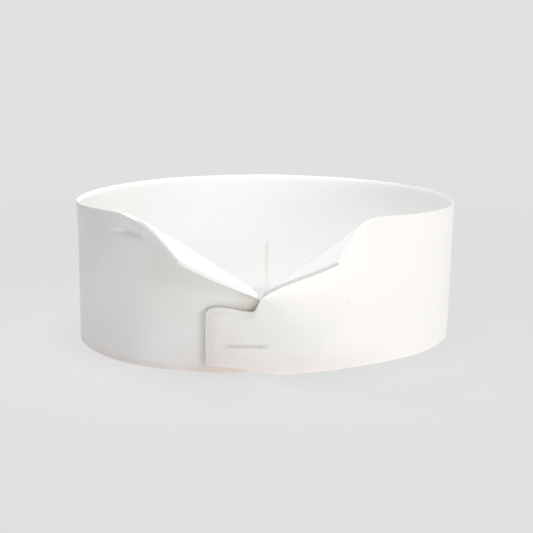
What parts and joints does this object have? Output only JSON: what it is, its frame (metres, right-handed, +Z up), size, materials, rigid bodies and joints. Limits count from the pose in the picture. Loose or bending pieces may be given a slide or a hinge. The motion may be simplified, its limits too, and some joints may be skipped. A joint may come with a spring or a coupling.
{
  "type": "wing collar",
  "caption": "Stiff starched wing collar of layered linen, closed into a ring with lapped front ends and pointed wings folded out along slanting creases.",
  "frame": {"origin": "middle of the collar's box, on the surface that its lower edge stands on", "axes": "+Z up the band, +Y from the front opening to the middle of the back, +X towards the wearer's left, whose end laps over the other"},
  "size_m": [0.124, 0.1416, 0.0456],
  "materials": {
    "linen": "starched and pressed smooth, soft satin"
  },
  "bodies": {
    "root": {"collar": "linen"}
  },
  "joints": []
}
